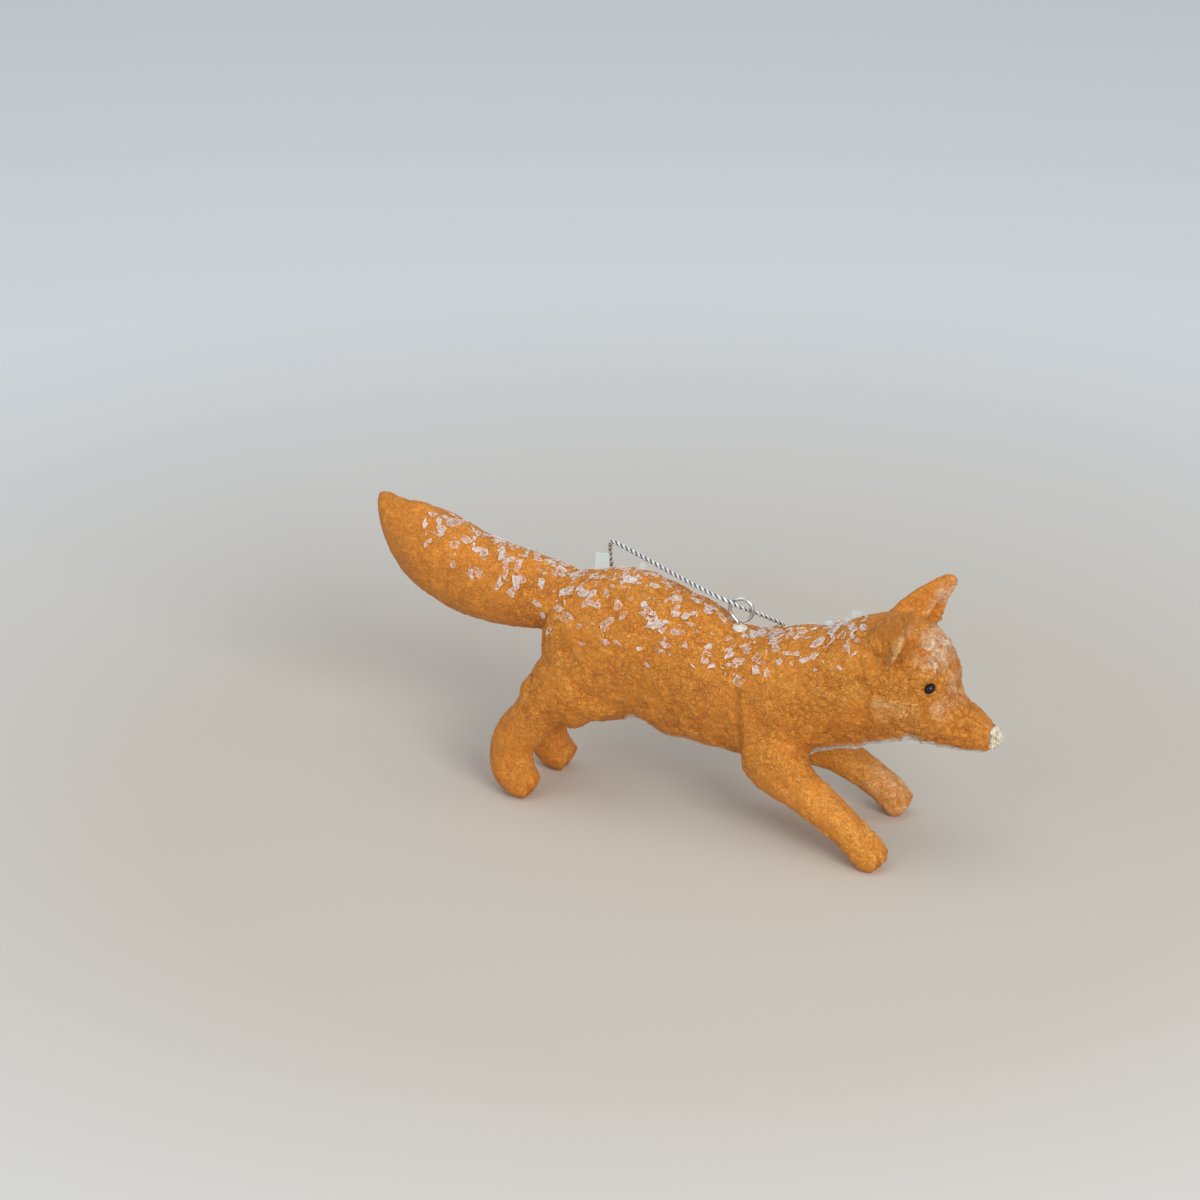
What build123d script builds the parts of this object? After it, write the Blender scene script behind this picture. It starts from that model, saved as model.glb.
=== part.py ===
from build123d import *
import math
import os

# A running fox hung as an ornament: paper pulp and torn paper over a wire frame.
# Millimetres. +X points to the nose, +Y to the fox's left side, +Z up.
# The origin lies on the floor, under the middle of the fox's length.

# Trunk
rump_x = -35.0
trunk_length = 80.0
back_height = 56.0
trunk_width = 25.6
neck_top = 54.4
neck_bottom = 23.9
neck_width = 22.8

# Head
head_length = 30.0
crown_height = 55.4
head_width = 23.6
ear_base = 10.8
ear_base_thickness = 6.4
ear_forward = 10.0
ear_spread = 5.3
ear_rise = 13.9
eye_length = 2.7
eye_width = 2.1
eye_depth = 1.8
eye_tilt = 35
nose_length = 4.4
nose_width = 4.8
nose_height = 5.6

# Tail
tail_reach = 49.6
tail_tip_height = 65.6
tail_thickness = 20.2
tail_width = 16.4

# Legs
shoulder_height = 25.5
right_front_reach = 33.0
left_front_reach = 30.0
front_stance = 28.6
front_leg_thickness = 9.3
front_leg_width = 9.0
hip_height = 31.0
right_hind_reach = 14.6
left_hind_reach = 12.2
right_hind_stance = 9.1
left_hind_stance = 7.8
hind_leg_thickness = 9.6
hind_leg_width = 9.2

# Layers and wires
skin_thickness = 1.8
core_gap = 0.15
spine_wire_diameter = 1.6
leg_wire_diameter = 1.2
wire_gap = 0.1
wire_bend = 3.0
front_wire_rise = 3.0
hind_wire_rise = 2.0
seat_gap = 0.04

# Hanging eye, its glue and the cord
eye_wire_diameter = 0.9
eye_ring_diameter = 6.2
eye_ring_height = 4.1
eye_neck_drop = 3.1
eye_neck_offset = 0.75
eye_neck_bend = 1.2
eye_shank_depth = 9.0
eye_turn = 5
eye_gap_turn = 55
glue_diameter = 3.6
glue_height = 0.6
cord_diameter = 1.1
knot_length = 3.8
knot_diameter = 3.0

# Mica flakes
flake_size = 2.8
flake_thickness = 0.16
flake_sink = 0.09

floor_depth = 10.0

# Each row: place along the trunk, top, bottom, width
trunk_shares = [
    (0.026, 0.732, 0.518, 0.39),
    (0.042, 0.848, 0.438, 0.66),
    (0.079, 0.934, 0.365, 0.86),
    (0.137, 0.964, 0.332, 0.95),
    (0.219, 0.991, 0.332, 0.98),
    (0.300, 0.996, 0.366, 0.94),
    (0.375, 0.975, 0.332, 0.90),
    (0.450, 0.936, 0.309, 0.89),
    (0.525, 0.896, 0.296, 0.91),
    (0.600, 0.832, 0.296, 0.94),
    (0.675, 0.832, 0.304, 0.98),
    (0.762, 0.864, 0.314, 1.00),
    (0.850, 0.888, 0.354, 0.95),
    (0.925, 0.932, 0.393, 0.91),
]

# Each row: place along the head, top, bottom, width
head_shares = [
    (0.167, 1.000, 0.457, 1.00),
    (0.333, 0.991, 0.482, 0.97),
    (0.467, 0.957, 0.480, 0.86),
    (0.560, 0.899, 0.473, 0.73),
    (0.620, 0.809, 0.471, 0.61),
    (0.680, 0.708, 0.471, 0.51),
    (0.770, 0.660, 0.473, 0.42),
    (0.860, 0.625, 0.480, 0.34),
    (0.935, 0.588, 0.498, 0.24),
]

# Each row: place along the tail, height, thickness, width
tail_shares = [
    (0.000, 0.694, 0.65, 0.76),
    (0.120, 0.715, 0.75, 0.83),
    (0.280, 0.721, 0.91, 0.93),
    (0.426, 0.732, 0.97, 0.98),
    (0.604, 0.768, 1.00, 1.00),
    (0.754, 0.829, 0.95, 0.95),
    (0.910, 0.906, 0.56, 0.60),
    (0.964, 0.957, 0.32, 0.37),
    (0.998, 0.998, 0.08, 0.09),
]

# Each row: forward, outward, height, thickness, width
right_front_shares = [
    (0.000, 0.455, 1.000, 1.83, 1.22),
    (0.152, 0.600, 0.792, 1.63, 1.24),
    (0.297, 0.713, 0.643, 1.29, 1.16),
    (0.439, 0.811, 0.556, 1.05, 1.07),
    (0.615, 0.895, 0.428, 0.96, 1.00),
    (0.773, 0.958, 0.292, 0.86, 0.93),
    (0.900, 0.993, 0.150, 0.90, 1.00),
    (1.010, 1.014, 0.080, 0.58, 0.71),
]
left_front_shares = [
    (-0.033, 0.455, 0.980, 1.79, 1.22),
    (0.133, 0.615, 0.776, 1.55, 1.22),
    (0.300, 0.755, 0.620, 1.20, 1.11),
    (0.457, 0.867, 0.522, 0.94, 1.02),
    (0.617, 0.944, 0.404, 0.86, 0.96),
    (0.763, 0.993, 0.281, 0.84, 0.93),
    (0.873, 1.021, 0.155, 0.84, 0.98),
    (0.983, 1.042, 0.082, 0.57, 0.69),
]

# Each row: backward, outward, height, thickness, width
right_hind_shares = [
    (-0.190, 0.750, 0.950, 1.74, 1.20),
    (0.377, 0.857, 0.800, 1.32, 1.17),
    (0.699, 0.945, 0.574, 1.13, 1.09),
    (0.952, 0.989, 0.394, 1.00, 1.00),
    (0.990, 1.000, 0.258, 0.96, 0.96),
    (0.810, 1.000, 0.129, 0.92, 0.98),
    (0.560, 1.000, 0.062, 0.58, 0.72),
]
left_hind_shares = [
    (-0.190, 0.860, 0.935, 1.72, 1.18),
    (0.369, 0.923, 0.790, 1.38, 1.17),
    (0.705, 0.974, 0.574, 1.13, 1.09),
    (0.967, 1.000, 0.387, 1.00, 1.00),
    (1.000, 1.000, 0.258, 0.98, 0.96),
    (0.820, 1.000, 0.142, 0.94, 0.98),
    (0.508, 1.000, 0.084, 0.67, 0.78),
]

# Places on the pieces that carry them
shoulder_share = 0.681
hip_share = 0.125
ear_root_shares = (0.113, 0.51, 0.865)
ear_section_shares = [(0.0, 1.0, 1.0), (0.35, 0.94, 0.8), (0.62, 0.7, 0.6), (0.84, 0.4, 0.42), (1.0, 0.16, 0.26)]
eye_place_shares = (0.533, 0.776)
eye_seat_share = 0.25
nose_place_shares = (0.940, 0.535)
eye_pin_share = 0.606
saddle_top_share = 0.832
bend_share = 0.45

# Route of the cord, as steps from the middle of the ring of the hanging eye
cord_middle = (-0.08, 0.0, 0.5)
cord_rear_route = [
    (-2.9, -3.1, 3.2),
    (-35.4, 9.5, 7.75),
    (-36.4, 11.3, 5.6),
    (-36.9, 13.3, 0.0),
    (-35.7, 15.2, -9.7),
    (-30.5, 15.9, -21.7),
    (-22.0, 16.0, -31.2),
    (-12.4, 15.8, -35.8),
]
cord_front_route = [
    (8.07, 10.5, -6.3),
    (7.2, 14.5, -12.7),
    (4.7, 15.8, -23.7),
    (-1.7, 16.0, -32.8),
    (-10.54, 15.8, -35.87),
]
knot_middle = (-11.5, 15.8, -36.2)

# Flake outlines about their middle, as shares of the flake size
flake_outline_shares = [
    [(-0.50, -0.20), (-0.10, -0.45), (0.45, -0.20), (0.35, 0.30), (-0.20, 0.42)],
    [(-0.55, 0.00), (-0.10, -0.30), (0.50, -0.12), (0.30, 0.25)],
    [(-0.35, -0.40), (0.30, -0.35), (0.50, 0.20), (0.00, 0.50), (-0.45, 0.15)],
    [(-0.90, -0.14), (0.85, -0.20), (0.90, 0.12), (-0.80, 0.18)],
]

# Each row: place along the piece, turn from the top to the right in degrees,
# outline, size, spin in degrees
tail_flake_shares = [
    (0.71, 28, 0, 1.1, 20),
    (0.60, 42, 2, 0.8, 75),
    (0.58, 68, 3, 0.7, 60),
    (0.48, 28, 1, 1.0, 10),
    (0.37, 18, 0, 0.9, 35),
    (0.29, 46, 1, 1.0, 80),
    (0.28, 76, 2, 0.9, 15),
    (0.50, -30, 0, 1.0, 50),
]
back_flake_shares = [
    (0.12, 22, 3, 0.7, 50),
    (0.14, 48, 1, 0.9, 40),
    (0.20, 8, 2, 1.0, 15),
    (0.24, 44, 3, 1.0, 38),
    (0.30, 26, 0, 0.9, 70),
    (0.40, 32, 2, 1.6, 65),
    (0.42, 50, 3, 0.8, -20),
    (0.47, 18, 1, 0.9, 30),
    (0.56, 44, 1, 1.1, 10),
    (0.67, 38, 0, 1.0, 55),
    (0.34, -24, 2, 1.1, 25),
    (0.52, -30, 0, 1.0, 0),
]
neck_flake_shares = [
    (0.79, 34, 3, 0.6, 45),
    (0.81, 14, 1, 0.9, 5),
    (0.84, 44, 0, 0.8, 30),
    (0.90, 22, 3, 0.8, 60),
    (0.93, 4, 1, 0.8, 25),
    (0.86, -26, 2, 1.0, 40),
]


def section(middle, heading, half_width, half_height):
    """An oval across a limb: its width lies level, its height across the heading."""
    heading = heading.normalized()
    side = Vector(0, 1, 0)
    side = (side - heading * side.dot(heading)).normalized()
    return Plane(middle, x_dir=side, z_dir=heading) * Ellipse(half_width, half_height)


def limb(rows, inset=0.0, first=0, last=None):
    """A smooth solid through rows of middle, half width and half height."""
    ovals = []
    for i in range(len(rows))[first:last]:
        middle, half_width, half_height = rows[i]
        before = rows[max(i - 1, 0)][0]
        after = rows[min(i + 1, len(rows) - 1)][0]
        ovals.append(section(middle, after - before, half_width - inset, half_height - inset))
    return loft(ovals)


def upright_rows(start_x, length, height, width, shares):
    """Rows of upright ovals from shares of a length, a height and a width."""
    rows = []
    for along, top, bottom, wide in shares:
        middle = Vector(start_x + along * length, 0, (top + bottom) / 2 * height)
        rows.append((middle, wide * width / 2, (top - bottom) / 2 * height))
    return rows


def upright(rows, inset=0.0):
    """A smooth solid through upright ovals that all face along X."""
    ovals = [section(middle, Vector(1, 0, 0), b - inset, c - inset) for middle, b, c in rows]
    return loft(ovals)


def moved(row, distance):
    """The same oval, shifted along X."""
    middle, half_width, half_height = row
    return (middle + Vector(distance, 0, 0), half_width, half_height)


def write(shape, name):
    shape.label = name
    export_step(shape, f"parts/{name}.step")


neck_x = rump_x + trunk_length
neck_middle = Vector(neck_x, 0, (neck_top + neck_bottom) / 2)
neck_row = (neck_middle, neck_width / 2, (neck_top - neck_bottom) / 2)
shoulder_x = rump_x + shoulder_share * trunk_length
hip_x = rump_x + hip_share * trunk_length
core_inset = skin_thickness + core_gap


def tail_rows():
    rows = []
    for along, height, thick, wide in tail_shares:
        middle = Vector(hip_x - along * tail_reach, 0, height * tail_tip_height)
        rows.append((middle, wide * tail_width / 2, thick * tail_thickness / 2))
    return rows


def front_leg_rows(shares, reach, side):
    rows = []
    for forward, outward, height, thick, wide in shares:
        x = shoulder_x + forward * reach
        middle = Vector(x, side * outward * front_stance / 2, height * shoulder_height)
        rows.append((middle, wide * front_leg_width / 2, thick * front_leg_thickness / 2))
    return rows


def hind_leg_rows(shares, reach, stance, side):
    rows = []
    for backward, outward, height, thick, wide in shares:
        middle = Vector(hip_x - backward * reach, side * outward * stance, height * hip_height)
        rows.append((middle, wide * hind_leg_width / 2, thick * hind_leg_thickness / 2))
    return rows


def above_floor(shape):
    """The shape with its soles cut flat on the floor."""
    ground = Pos(0, 0, -floor_depth / 2) * Box(trunk_length * 2, front_stance * 2, floor_depth)
    return shape - ground


def rod(points, diameter, bends):
    """A round bar along straight runs joined by bends."""
    path = FilletPolyline(*points, radius=bends)
    start = Plane(path @ 0, z_dir=path % 0)
    return sweep(start * Circle(diameter / 2), path=path)


def wire_and_channel(points, diameter):
    """A bent wire, and the channel that it leaves in what surrounds it."""
    wire = rod(points, diameter, wire_bend)
    channel = rod(points, diameter + 2 * wire_gap, wire_bend)
    return wire, channel


def surface_hit(form, start, direction):
    """Where a ray from inside leaves the form, and the outward normal there."""
    ray = Axis(start, direction)
    hits = [hit for face in form.faces() for hit in face.find_intersection_points(ray)]
    point, normal = max(hits, key=lambda hit: (hit[0] - start).dot(direction))
    if normal.dot(direction) < 0:
        normal = -normal
    return point, normal


def tangent_plane(point, normal, along):
    """A plane on a surface, its X axis as near as it can be to a given direction."""
    along = (along - normal * along.dot(normal)).normalized()
    return Plane(point, x_dir=along, z_dir=normal)


def between(rows, x):
    """The middle of a form where it crosses a given X."""
    for one, two in zip(rows, rows[1:]):
        start, end = one[0], two[0]
        if min(start.X, end.X) <= x <= max(start.X, end.X):
            return start + (end - start) * ((x - start.X) / (end.X - start.X))
    return rows[-1][0]


def flakes(form, rows, start_x, length, shares, name):
    """Flat mica flakes pressed into the form where their rays leave it, given back to cut their beds."""
    plates = []
    for number, (along, turn, outline, size_share, spin) in enumerate(shares, 1):
        middle = between(rows, start_x + along * length)
        angle = math.radians(turn)
        point, normal = surface_hit(form, middle, Vector(0, -math.sin(angle), math.cos(angle)))
        bed = tangent_plane(point - normal * flake_sink, normal, Vector(1, 0, 0))
        size = size_share * flake_size
        corners = [(x * size, y * size) for x, y in flake_outline_shares[outline]]
        sheet = Rot(0, 0, spin) * make_face(Polyline(*corners, close=True))
        plate = extrude(bed * sheet, flake_thickness)
        write(plate, f"{name}_{number}")
        plates.append(plate)
    return plates


def ear(side):
    """A leaf that leans forward, its broad face outward, cut off by the head."""
    along, out, up = ear_root_shares
    root = Vector(neck_x + along * head_length, side * out * head_width / 2, up * crown_height)
    lean = Vector(ear_forward, side * ear_spread, ear_rise)
    ovals = []
    for share, wide, thick in ear_section_shares:
        place = tangent_plane(root + lean * share, lean.normalized(), Vector(0, 0, -1))
        ovals.append(place * Ellipse(wide * ear_base / 2, thick * ear_base_thickness / 2))
    return loft(ovals) - head_form - trunk_form


def eye(side, gap):
    """A glass bead set into the side of the head, or with a gap its socket."""
    along, up = eye_place_shares
    middle = Vector(neck_x + along * head_length, 0, up * crown_height)
    point, normal = surface_hit(head_form, middle, Vector(0, side, 0))
    tilt = math.radians(eye_tilt)
    centre = point - normal * eye_seat_share * eye_depth
    seat = tangent_plane(centre, normal, Vector(math.cos(tilt), 0, math.sin(tilt)))
    half_sizes = (eye_length / 2 + gap, eye_width / 2 + gap, eye_depth / 2 + gap)
    return seat * scale(Sphere(1), by=half_sizes)


def nose():
    along, up = nose_place_shares
    bulb = scale(Sphere(1), by=(nose_length / 2, nose_width / 2, nose_height / 2))
    return Pos(neck_x + along * head_length, 0, up * crown_height) * bulb - head_form


# The hanging eye lies in an upright plane that is turned a little from the length
saddle_height = saddle_top_share * back_height
ring_middle = Vector(rump_x + eye_pin_share * trunk_length, 0, saddle_height + eye_ring_height)
eye_turn_cos = math.cos(math.radians(eye_turn))
eye_turn_sin = math.sin(math.radians(eye_turn))
eye_plane = Plane(
    ring_middle,
    x_dir=(eye_turn_cos, eye_turn_sin, 0),
    z_dir=(eye_turn_sin, -eye_turn_cos, 0),
)
shank_foot = eye_plane.from_local_coords((-eye_neck_offset, -eye_ring_height - eye_shank_depth, 0))


def eye_pin():
    """A wire with a straight shank, one bend, and a ring bent round to the shank."""
    radius = (eye_ring_diameter - eye_wire_diameter) / 2
    neck = Vector(-eye_neck_offset, -eye_neck_drop, 0)
    foot = Vector(-eye_neck_offset, -eye_ring_height - eye_shank_depth, 0)
    turn = math.atan2(neck.Y, neck.X) - math.acos(radius / neck.length)
    touch = Vector(radius * math.cos(turn), radius * math.sin(turn), 0)
    shank = FilletPolyline(foot, neck, touch, radius=eye_neck_bend)
    ring = CenterArc((0, 0), radius, math.degrees(turn), eye_gap_turn - 360)
    path = eye_plane * Wire(shank.edges() + ring.edges())
    start = Plane(path @ 0, z_dir=path % 0)
    return sweep(start * Circle(eye_wire_diameter / 2), path=path)


def shank_hole(gap):
    bottom = (Align.CENTER, Align.CENTER, Align.MIN)
    height = eye_shank_depth + eye_ring_height
    return Pos(shank_foot) * Cylinder(eye_wire_diameter / 2 + gap, height, align=bottom)


def glue_bead():
    """A low dome of glue round the foot of the ring."""
    radius = ((glue_diameter / 2) ** 2 + glue_height**2) / (2 * glue_height)
    top = saddle_height + glue_height
    dome = Pos(shank_foot.X, shank_foot.Y, top - radius) * Sphere(radius)
    return dome - trunk_form - shank_hole(seat_gap)


def cord(route, name):
    """A plain round cord along straight runs, each bend as wide as its runs allow."""
    points = [ring_middle + Vector(*step) for step in [cord_middle] + route]
    radii = []
    for before, corner, after in zip(points, points[1:], points[2:]):
        turn = (corner - before).get_angle(after - corner)
        shorter_run = min((corner - before).length, (after - corner).length)
        radii.append(bend_share * shorter_run / math.tan(math.radians(turn / 2)))
    tube = rod(points, cord_diameter, radii)
    length = FilletPolyline(*points, radius=radii).length
    area = math.pi * (cord_diameter / 2) ** 2
    print(name, "length", round(length, 1), "bend radii", [round(r, 1) for r in radii])
    print(name, "volume", round(tube.volume, 2), "section by length", round(area * length, 2))
    return tube


# Solid forms before they are hollowed or trimmed
trunk_rows = upright_rows(rump_x, trunk_length, back_height, trunk_width, trunk_shares)
trunk_form = upright(trunk_rows + [neck_row])
head_rows = upright_rows(neck_x, head_length, crown_height, head_width, head_shares)
head_form = upright([neck_row] + head_rows)
tail_form = limb(tail_rows())


def main():
    os.makedirs("parts", exist_ok=True)
    right_front = front_leg_rows(right_front_shares, right_front_reach, -1)
    left_front = front_leg_rows(left_front_shares, left_front_reach, 1)
    right_hind = hind_leg_rows(right_hind_shares, right_hind_reach, right_hind_stance, -1)
    left_hind = hind_leg_rows(left_hind_shares, left_hind_reach, left_hind_stance, 1)

    # Wires, from paw to paw and from tail to head, down the middle of each form
    tail_middles = [row[0] for row in tail_rows()]
    spine_points = [tail_middles[5], tail_middles[2], trunk_rows[4][0], trunk_rows[8][0]]
    spine_points += [neck_middle, head_rows[1][0]]
    spine_wire, spine_channel = wire_and_channel(spine_points, spine_wire_diameter)
    front_crossing = Vector(shoulder_x, 0, shoulder_height + front_wire_rise)
    front_points = [right_front[i][0] for i in (6, 4, 2, 0)] + [front_crossing]
    front_points += [left_front[i][0] for i in (0, 2, 4, 6)]
    front_wire, front_channel = wire_and_channel(front_points, leg_wire_diameter)
    hind_crossing = Vector(hip_x, 0, hip_height + hind_wire_rise)
    hind_points = [right_hind[i][0] for i in (5, 3, 1)] + [hind_crossing]
    hind_points += [left_hind[i][0] for i in (1, 3, 5)]
    hind_wire, hind_channel = wire_and_channel(hind_points, leg_wire_diameter)
    write(spine_wire, "spine_wire")
    write(front_wire, "front_leg_wire")
    write(hind_wire, "hind_leg_wire")

    # Mica flakes along the tail, the back and the nape
    tail_flakes = flakes(tail_form, tail_rows(), hip_x, -tail_reach, tail_flake_shares, "mica_tail")
    back_flakes = flakes(trunk_form, trunk_rows, rump_x, trunk_length, back_flake_shares, "mica_back")
    neck_flakes = flakes(trunk_form, trunk_rows, rump_x, trunk_length, neck_flake_shares, "mica_neck")

    # Trunk
    hollow_rows = trunk_rows[1:] + [moved(neck_row, -skin_thickness)]
    core_rows = trunk_rows[1:] + [moved(neck_row, -core_inset)]
    channels = [spine_channel, front_channel, hind_channel]
    torso_skin = trunk_form - upright(hollow_rows, skin_thickness)
    torso_core = upright(core_rows, core_inset)
    for channel in channels + [shank_hole(wire_gap)]:
        torso_skin -= channel
        torso_core -= channel
    for flake in back_flakes + neck_flakes:
        torso_skin -= flake
    write(torso_skin, "torso_skin")
    write(torso_core, "torso_core")

    # Head, with the face details
    hollow_rows = [moved(neck_row, skin_thickness)] + head_rows[:7]
    core_rows = [moved(neck_row, core_inset)] + head_rows[:7]
    head_skin = head_form - upright(hollow_rows, skin_thickness) - spine_channel
    head_skin -= eye(-1, seat_gap)
    head_skin -= eye(1, seat_gap)
    write(head_skin, "head_skin")
    write(upright(core_rows, core_inset) - spine_channel, "head_core")
    write(eye(-1, 0), "eye_right")
    write(eye(1, 0), "eye_left")
    write(nose(), "nose_tip")
    write(ear(-1), "ear_right")
    write(ear(1), "ear_left")

    # Tail
    tail_hollow = limb(tail_rows(), skin_thickness, 2, 7)
    tail_core = limb(tail_rows(), core_inset, 2, 7)
    tail_skin = tail_form - trunk_form - tail_hollow - spine_channel
    for flake in tail_flakes:
        tail_skin -= flake
    write(tail_skin, "tail_skin")
    write(tail_core - spine_channel, "tail_core")

    # Legs
    write(above_floor(limb(right_front)) - trunk_form - front_channel, "front_leg_right")
    write(above_floor(limb(left_front)) - trunk_form - front_channel, "front_leg_left")
    write(above_floor(limb(right_hind)) - trunk_form - hind_channel, "hind_leg_right")
    write(above_floor(limb(left_hind)) - trunk_form - hind_channel, "hind_leg_left")

    # Hanging eye and cord
    write(eye_pin(), "eye_pin")
    write(glue_bead(), "glue_bead")
    rear_run = cord(cord_rear_route, "cord_rear_run")
    front_run = cord(cord_front_route, "cord_front_run")
    lump = scale(Sphere(1), by=(knot_length / 2, knot_diameter / 2, knot_diameter / 2))
    knot = Pos(ring_middle + Vector(*knot_middle)) * lump
    write(rear_run, "cord_rear_run")
    write(front_run, "cord_front_run")
    write(knot - rear_run - front_run, "cord_knot")


main()
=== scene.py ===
import math
import random

import bpy
import numpy as np
from bpy.props import FloatProperty, FloatVectorProperty, IntProperty, PointerProperty
from mathutils import Matrix, Vector, noise
from mathutils.bvhtree import BVHTree


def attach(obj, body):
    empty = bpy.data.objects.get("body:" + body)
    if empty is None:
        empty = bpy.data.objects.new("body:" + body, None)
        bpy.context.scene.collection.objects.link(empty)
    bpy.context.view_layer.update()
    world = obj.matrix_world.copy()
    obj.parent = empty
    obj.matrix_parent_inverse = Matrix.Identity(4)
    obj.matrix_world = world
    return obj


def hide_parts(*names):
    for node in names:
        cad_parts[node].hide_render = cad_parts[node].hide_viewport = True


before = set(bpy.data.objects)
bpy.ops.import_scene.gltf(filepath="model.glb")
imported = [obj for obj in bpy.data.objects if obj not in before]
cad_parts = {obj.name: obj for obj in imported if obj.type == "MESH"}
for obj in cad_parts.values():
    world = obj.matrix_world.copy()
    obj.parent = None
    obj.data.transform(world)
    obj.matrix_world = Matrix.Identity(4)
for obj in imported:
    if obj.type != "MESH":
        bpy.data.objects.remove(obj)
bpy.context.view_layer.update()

bl_info = {
    "name": "Hanging paper fox",
    "version": (1, 0, 0),
    "blender": (4, 5, 0),
    "location": "3D View > Sidebar > Paper Fox",
    "description": "Dresses a running fox ornament of painted paper with mica, cord and stage",
    "category": "Object",
}

MM = 0.001
FOX = "fox"
LOOP = "hanging_loop"

# Settings


class FoxPaperSettings(bpy.types.PropertyGroup):
    """The painted paper skin"""

    voxel: FloatProperty(
        name="Skin grain", description="Edge length of the skin mesh", default=0.00048, unit="LENGTH"
    )
    scrap_step: FloatProperty(
        name="Scrap step", description="How far torn scraps stand above each other",
        default=0.00017, unit="LENGTH",
    )
    wrinkle: FloatProperty(
        name="Wrinkle height", description="Height of the fine paper wrinkles",
        default=0.00013, unit="LENGTH",
    )
    scrap_seed: IntProperty(
        name="Scrap scatter", description="Seed of the torn scraps", default=5, min=1
    )
    ochre: FloatVectorProperty(
        name="Ochre", description="Main paint colour", default=(0.75, 0.268, 0.029), subtype="COLOR"
    )
    # Rust is also the painted shade in the hollows and creases
    rust: FloatVectorProperty(
        name="Rust", description="Paint lying in the hollows",
        default=(0.58, 0.174, 0.016), subtype="COLOR",
    )
    # Honey is also the painted highlight on the ridges and lit faces
    honey: FloatVectorProperty(
        name="Honey", description="Thin paint on the ridges",
        default=(0.90, 0.41, 0.075), subtype="COLOR",
    )
    # Blush is also the painted highlight on brow, cheeks, far front leg and ear rims
    blush: FloatVectorProperty(
        name="Blush", description="Pale brushed colour of brow and inner ears",
        default=(0.96, 0.73, 0.53), subtype="COLOR",
    )
    cream: FloatVectorProperty(
        name="Cream", description="Bare underside of throat and belly",
        default=(0.90, 0.88, 0.82), subtype="COLOR",
    )


class FoxTrimSettings(bpy.types.PropertyGroup):
    """Mica, nose, eyes and hanging hardware"""

    flake_size: FloatProperty(
        name="Flake size", description="Size of a common flake", default=0.0029, unit="LENGTH"
    )
    flake_thickness: FloatProperty(
        name="Flake thickness", description="Thickness of a flake", default=0.00012, unit="LENGTH"
    )
    flake_seed: IntProperty(
        name="Flake scatter", description="Seed of the small flakes", default=11
    )
    cord_diameter: FloatProperty(
        name="Cord", description="Thickness of the cord", default=0.0011, unit="LENGTH"
    )
    cord_pitch: FloatProperty(
        name="Cord twist", description="Length of one full turn of the twist",
        default=0.0031, unit="LENGTH",
    )
    silver: FloatVectorProperty(
        name="Silver", description="Metallic thread", default=(0.98, 0.99, 1.0), subtype="COLOR"
    )
    nose_cream: FloatVectorProperty(
        name="Nose", description="Cream paste on the nose",
        default=(0.78, 0.73, 0.60), subtype="COLOR",
    )


class FoxStageSettings(bpy.types.PropertyGroup):
    """Floor and camera"""

    azimuth: FloatProperty(
        name="Azimuth", description="Camera turn round the fox",
        default=math.radians(22.5), subtype="ANGLE",
    )
    elevation: FloatProperty(
        name="Elevation", description="Camera height angle",
        default=math.radians(23.0), subtype="ANGLE",
    )
    view_angle: FloatProperty(
        name="View angle", description="Camera field of view",
        default=math.radians(16.3), subtype="ANGLE",
    )
    aim: FloatVectorProperty(
        name="Aim", description="Place that the camera faces",
        default=(-0.021244, 0.001374, 0.046897), subtype="TRANSLATION",
    )
    distance: FloatProperty(
        name="Distance", description="From the camera to its aim", default=0.95, unit="LENGTH"
    )
    floor_reach: FloatProperty(
        name="Floor reach", description="Half the side of the floor", default=4.0, unit="LENGTH"
    )
    floor_colour: FloatVectorProperty(
        name="Floor", description="Floor under the fox", default=(0.655, 0.61, 0.54), subtype="COLOR"
    )
    far_colour: FloatVectorProperty(
        name="Far floor", description="Floor away from the fox",
        default=(0.86, 0.905, 0.94), subtype="COLOR",
    )


def paper():
    return bpy.context.scene.fox_paper


def trim():
    return bpy.context.scene.fox_trim


def stage():
    return bpy.context.scene.fox_stage


# Shader maths


class Value:
    """A node socket that takes part in Python sums"""

    def __init__(self, look, socket):
        self.look = look
        self.socket = socket

    def _math(self, operation, *others, clamp=False):
        node = self.look.tree.nodes.new("ShaderNodeMath")
        node.operation = operation
        node.use_clamp = clamp
        for slot, item in zip(node.inputs, others):
            self.look.feed(slot, item)
        return Value(self.look, node.outputs[0])

    def __add__(self, other):
        return self._math("ADD", self, other)

    def __radd__(self, other):
        return self._math("ADD", other, self)

    def __sub__(self, other):
        return self._math("SUBTRACT", self, other)

    def __rsub__(self, other):
        return self._math("SUBTRACT", other, self)

    def __mul__(self, other):
        return self._math("MULTIPLY", self, other)

    def __rmul__(self, other):
        return self._math("MULTIPLY", other, self)

    def __abs__(self):
        return self._math("ABSOLUTE", self)

    def clamped(self):
        return self._math("ADD", self, 0.0, clamp=True)


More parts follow.
